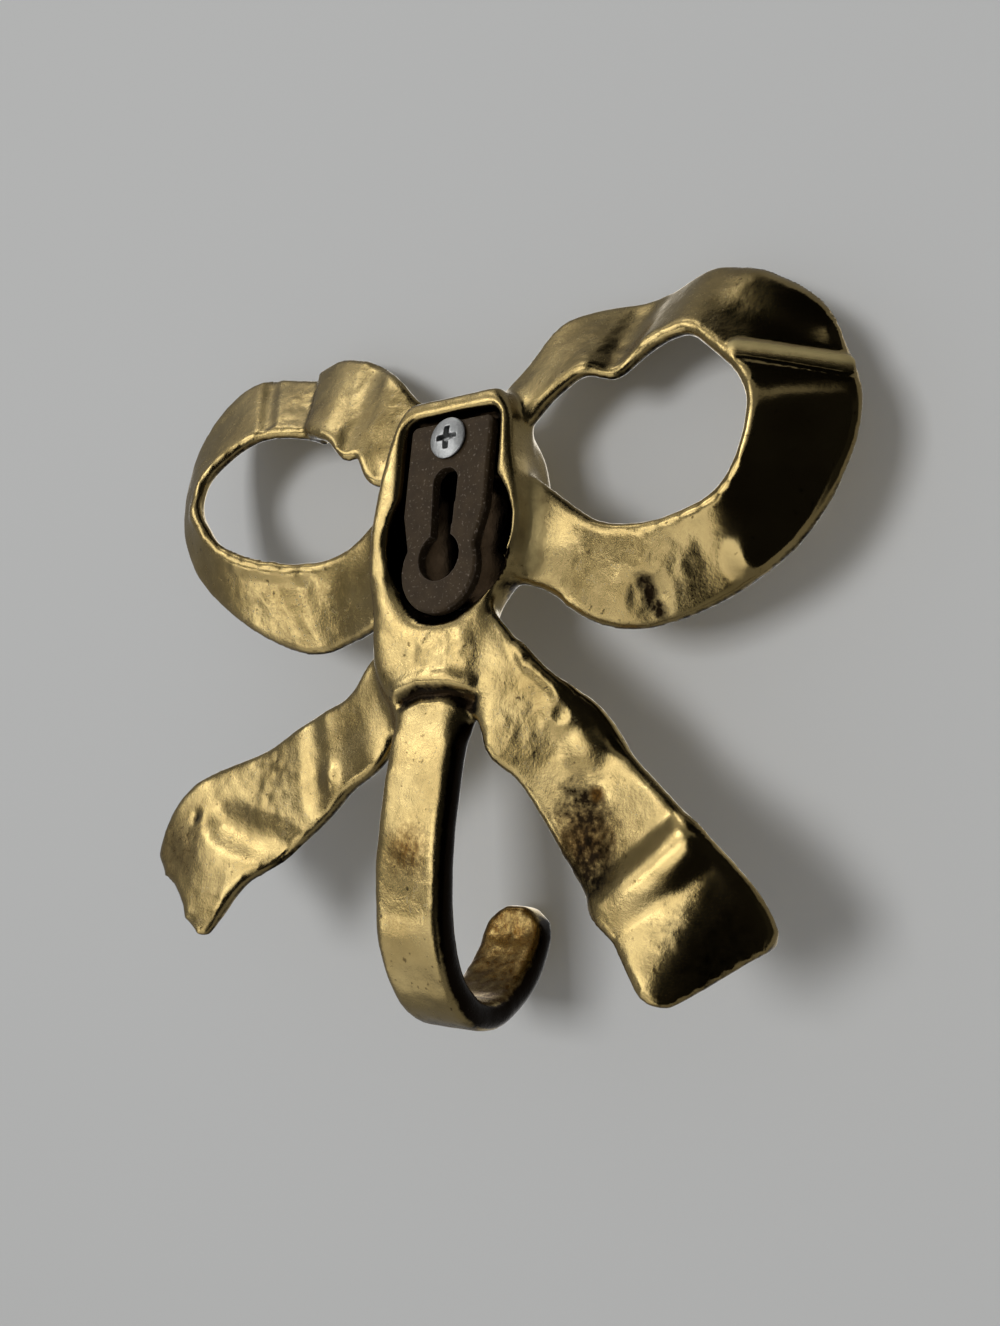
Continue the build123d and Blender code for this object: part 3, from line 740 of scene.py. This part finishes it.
plate = skin_of_node("keyhole_plate", "hanger_plate", PLATE_VOXEL, PLATE_STEPS)
store(plate.data, "rippled", np.ones(len(plate.data.vertices)))
store(plate.data, "hammered", np.zeros(len(plate.data.vertices)))
plate_surface = {
    "Ripple size": 6.0 * MM,
    "Ripple height": 0.06 * MM,
    "Hammer size": 1.0 * MM,
    "Hammer height": 0.0,
    "Hollow reach": 5,
    "Material": steel,
}
finish_piece(plate, plate_surface, "keyhole_plate")

# %% [markdown]
# The screw that holds the plate is a countersunk screw with a cross recess. Its shank is plain in
# the solid. A thread could be swept along a helix and joined on. Here a node tree presses it into
# the skin by a rule instead, which keeps one closed mesh: how deep a point goes depends on its turn
# about the screw's axis and its depth.

# %% screw: one even skin
SCREW_VOXEL = 0.11 * MM
SCREW_STEPS = 3

screw = skin_of_node("plate_screw", "hanger_screw", SCREW_VOXEL, SCREW_STEPS)
for name in ("rippled", "hammered"):
    store(screw.data, name, np.ones(len(screw.data.vertices)))
print("screw skin:", len(screw.data.vertices), "points")

# %% screw: thread
SCREW_HEIGHT = 7.2 * MM     # the screw's axis above the hang point
SCREW_LENGTH = 9.0 * MM
SHANK_TOP = -2.2 * MM
SHANK_RADIUS = 1.7 * MM
THREAD_PITCH = 1.25 * MM
THREAD_DEPTH = 0.42 * MM
CREST_END, ROOT_START = 0.06, 0.36      # in turns from the middle of the crest

thread = bpy.data.node_groups.new("screw thread", "GeometryNodeTree")
thread.interface.new_socket("Geometry", in_out="INPUT", socket_type="NodeSocketGeometry")
for label in ("Pitch", "Depth"):
    thread.interface.new_socket(label, in_out="INPUT", socket_type="NodeSocketFloat")
thread.interface.new_socket("Material", in_out="INPUT", socket_type="NodeSocketMaterial")
thread.interface.new_socket("Geometry", in_out="OUTPUT", socket_type="NodeSocketGeometry")
given = add(thread, "NodeGroupInput").outputs
place = add(thread, "GeometryNodeInputPosition").outputs[0]
axes = add(thread, "ShaderNodeSeparateXYZ", {0: place}).outputs
rise = add(thread, "ShaderNodeMath", {0: axes["Z"], 1: SCREW_HEIGHT}, operation="SUBTRACT").outputs[0]
angle = add(thread, "ShaderNodeMath", {0: rise, 1: axes["X"]}, operation="ARCTAN2").outputs[0]
turns = add(thread, "ShaderNodeMath", {0: angle, 1: 2 * math.pi}, operation="DIVIDE").outputs[0]
steps = add(thread, "ShaderNodeMath", {0: axes["Y"], 1: given["Pitch"]}, operation="DIVIDE").outputs[0]
phase = add(thread, "ShaderNodeMath", {0: steps, 1: turns}, operation="ADD").outputs[0]
wave = add(thread, "ShaderNodeMath", {0: phase, 1: 0.5}, operation="PINGPONG").outputs[0]
cut = add(thread, "ShaderNodeMapRange", {"Value": wave, "From Min": CREST_END, "From Max": ROOT_START},
          interpolation_type="SMOOTHSTEP").outputs[0]
below = add(thread, "ShaderNodeMapRange",
            {"Value": axes["Y"], "From Min": SHANK_TOP, "From Max": SHANK_TOP - THREAD_PITCH}).outputs[0]
inward = cut
for factor in (below, given["Depth"], -1.0 / SHANK_RADIUS):
    inward = add(thread, "ShaderNodeMath", {0: inward, 1: factor}, operation="MULTIPLY").outputs[0]
spoke = add(thread, "ShaderNodeCombineXYZ", {"X": axes["X"], "Z": rise}).outputs[0]
push = add(thread, "ShaderNodeVectorMath", {0: spoke, "Scale": inward}, operation="SCALE").outputs[0]
body = add(thread, "GeometryNodeSetPosition", {"Geometry": given["Geometry"], "Offset": push}).outputs[0]
body = add(thread, "GeometryNodeRealizeInstances", {0: body}).outputs[0]
body = add(thread, "GeometryNodeSetMaterial", {"Geometry": body, "Material": given["Material"]}).outputs[0]
add(thread, "NodeGroupOutput", {0: body})

zinc = bpy.data.materials.new("zinc_plated_steel")
run_tree(screw, thread, {"Pitch": THREAD_PITCH, "Depth": THREAD_DEPTH, "Material": zinc})
print("thread turns:", round((SCREW_LENGTH + SHANK_TOP) / THREAD_PITCH, 1))

# %% [markdown]
# The screw's steel is zinc plated. To the eye that is a pale, slightly rough grey metal with fine
# specks, and it is coloured darker in the cross that a driver has worn and in its other hollows. The
# hollow measure finds those places.

# %% screw: finish
ZINC_SPECK_SIZE = 0.35
ZINC_SPECK_HEIGHT = 0.03 * MM

tree = empty_tree(zinc)
place = add(tree, "ShaderNodeTexCoord").outputs["Object"]
hollow = add(tree, "ShaderNodeAttribute", attribute_name="hollow").outputs["Fac"]
specks = add(tree, "ShaderNodeTexNoise",
             {"Vector": place, "Scale": per_mm(ZINC_SPECK_SIZE), "Detail": 5.0, "Roughness": 0.7})
tone = add(tree, "ShaderNodeMix",
           {MIX_SHARE: specks.outputs[0], COLOUR_A: colour("#808284"), COLOUR_B: colour("#c8cac9")},
           data_type="RGBA").outputs[MIXED_COLOUR]
hollow_darkening = add(tree, "ShaderNodeMapRange",
            {"Value": hollow, "From Min": 0.01 * MM, "From Max": 0.09 * MM}).outputs[0]
tone = add(tree, "ShaderNodeMix", {MIX_SHARE: hollow_darkening, COLOUR_A: tone, COLOUR_B: colour("#2b2824")},
           data_type="RGBA").outputs[MIXED_COLOUR]
bump = add(tree, "ShaderNodeBump",
           {"Height": specks.outputs[0], "Strength": 0.3, "Distance": ZINC_SPECK_HEIGHT})
shader = add(tree, "ShaderNodeBsdfPrincipled",
             {"Base Color": tone, "Metallic": 0.9, "Roughness": 0.36, "Normal": bump.outputs[0]})
add(tree, "ShaderNodeOutputMaterial", {0: shader.outputs[0]})
screw_surface = {
    "Ripple size": 1.5 * MM,
    "Ripple height": 0.05 * MM,
    "Hammer size": 0.5 * MM,
    "Hammer height": 0.04 * MM,
    "Hollow reach": 6,
    "Material": zinc,
}
finish_piece(screw, screw_surface, "plate_screw")

# %% [markdown]
# The hook lies on a pale sheet, leaning on its hook and tails. A plain floor would do for this
# camera, but it would hide the front of the hook from any other. So the sheet shows only its upper
# face and lets light through from below. Reflections pass through it as well, and the room drawn
# below holds the sheet for them.

# %% stage
SHEET_NORMAL = Vector((0, 0.9737, -0.2279))
SHEET_OFFSET = -21.3 * MM
SHEET_RADIUS = 1.5
SHEET_CORNERS = 96

sheet_mesh = bpy.data.meshes.new("sheet")
work = bmesh.new()
bmesh.ops.create_circle(work, cap_ends=True, segments=SHEET_CORNERS, radius=SHEET_RADIUS)
work.to_mesh(sheet_mesh)
work.free()
sheet = bpy.data.objects.new("sheet", sheet_mesh)
bpy.context.scene.collection.objects.link(sheet)
turn = SHEET_NORMAL.normalized().to_track_quat("Z", "Y").to_matrix().to_4x4()
sheet.matrix_world = Matrix.Translation(SHEET_NORMAL.normalized() * SHEET_OFFSET) @ turn
paper = bpy.data.materials.new("pale_sheet")
tree = empty_tree(paper)
face = add(tree, "ShaderNodeBsdfDiffuse", {"Color": colour("#cfd0d0")})
clear = add(tree, "ShaderNodeBsdfTransparent")
path = add(tree, "ShaderNodeLightPath").outputs
unseen = add(tree, "ShaderNodeNewGeometry").outputs["Backfacing"]
for ray in ("Is Shadow Ray", "Is Glossy Ray"):
    unseen = add(tree, "ShaderNodeMath", {0: unseen, 1: path[ray]}, operation="MAXIMUM").outputs[0]
shown = add(tree, "ShaderNodeMixShader", {0: unseen, 1: face.outputs[0], 2: clear.outputs[0]})
add(tree, "ShaderNodeOutputMaterial", {0: shown.outputs[0]})
sheet_mesh.materials.append(paper)
print("sheet radius", SHEET_RADIUS, "m")

# %% [markdown]
# Polished metal shows the room more than itself. A photographed surround would give it one, but the
# file would need the picture. So the room is drawn in the world's shader: soft round areas of light
# and dark, each with a direction, two angles and a level. Bright ones stand to the right, and the
# unlit middle behind the camera turns broad faces black.

# %% room
# Levels of light: the room between its areas, what dull surfaces see, what the camera sees
ROOM_LEVEL = 0.25
PLAIN_LEVEL = 0.34
SEEN_LEVEL = 0.75
# Areas: direction, inner and outer angle in degrees, level. Later ones cover earlier ones
ROOM = {
    "sheet": ((0.0, -0.9737, 0.2279), 84, 91, 0.24),
    "window": ((0.60, 0.74, 0.28), 9, 18, 2.0),
    "open side": ((0.31, 0.95, -0.03), 8, 16, 2.6),
    "pale wall": ((0.38, 0.75, -0.54), 10, 18, 1.6),
    "lit ceiling": ((0.50, 0.40, 0.76), 10, 24, 0.75),
    "lit floor": ((0.62, 0.40, -0.68), 10, 25, 0.9),
    "front window": ((0.55, -0.76, 0.34), 16, 32, 1.8),
    "front ceiling": ((-0.30, -0.66, 0.69), 6, 16, 0.8),
    "front wall": ((0.05, -0.93, -0.36), 12, 30, 0.7),
    "first lamp": ((0.62, 0.70, 0.36), 3, 6, 7.0),
    "second lamp": ((0.52, 0.84, 0.03), 4, 8, 4.0),
    "third lamp": ((0.70, 0.62, -0.34), 3, 6, 5.0),
    "fourth lamp": ((0.46, 0.42, 0.78), 3, 6, 5.0),
    "dark side": ((-0.88, 0.45, 0.0), 30, 42, 0.02),
    "dark corner": ((-0.52, 0.48, 0.70), 22, 26, 0.01),
    "dark middle": ((-0.24, 0.965, 0.05), 28, 31, 0.010),
    "dark top": ((-0.08, 0.48, 0.87), 20, 23, 0.004),
    "dark foot": ((-0.12, 0.84, -0.54), 23, 25, 0.008),
}

world = bpy.data.worlds.new("room")
bpy.context.scene.world = world
tree = empty_tree(world)
towards = add(tree, "ShaderNodeTexCoord").outputs["Generated"]
level = ROOM_LEVEL
for aim, inner, outer, light in ROOM.values():
    dot = add(tree, "ShaderNodeVectorMath", {0: towards, 1: Vector(aim).normalized()},
              operation="DOT_PRODUCT")
    share = add(tree, "ShaderNodeMapRange",
                {"Value": dot.outputs["Value"], "From Min": math.cos(math.radians(outer)),
                 "From Max": math.cos(math.radians(inner))}, interpolation_type="SMOOTHSTEP")
    level = add(tree, "ShaderNodeMix",
                {MIX_SHARE: share.outputs[0], NUMBER_A: level, NUMBER_B: light}).outputs[0]
path = add(tree, "ShaderNodeLightPath").outputs
level = add(tree, "ShaderNodeMix",
            {MIX_SHARE: path["Is Glossy Ray"], NUMBER_A: PLAIN_LEVEL, NUMBER_B: level}).outputs[0]
level = add(tree, "ShaderNodeMix",
            {MIX_SHARE: path["Is Camera Ray"], NUMBER_A: level, NUMBER_B: SEEN_LEVEL}).outputs[0]
sky = add(tree, "ShaderNodeBackground", {"Color": colour("#f2f1ef"), "Strength": level})
add(tree, "ShaderNodeOutputWorld", {0: sky.outputs[0]})
print("room areas:", len(ROOM))

# %% [markdown]
# Two area lamps light what the room doesn't: the key gives the soft shadow on the sheet, and a fill
# lights the front. Their own reflections are left out, because the drawn room already holds the
# lamps that the metal shows.

# %% lamps
# Lamps: direction from the hook, distance in m, size in m, power in W
LAMPS = {
    "key": ((0.12, 0.97, -0.12), 1.2, 0.4, 6.2),
    "front_fill": ((-0.3, -0.9, 0.35), 0.7, 0.6, 3.0),
}

for name, (aim, distance, size, power) in LAMPS.items():
    lamp = bpy.data.lights.new(name, "AREA")
    lamp.size = size
    lamp.energy = power
    lamp_object = bpy.data.objects.new(name, lamp)
    bpy.context.scene.collection.objects.link(lamp_object)
    direction = Vector(aim).normalized()
    lamp_object.location = direction * distance
    lamp_object.rotation_euler = direction.to_track_quat("Z", "Y").to_euler()
    lamp_object.visible_glossy = False
bpy.context.scene.view_settings.view_transform = "Standard"
print("lamps:", len(LAMPS))
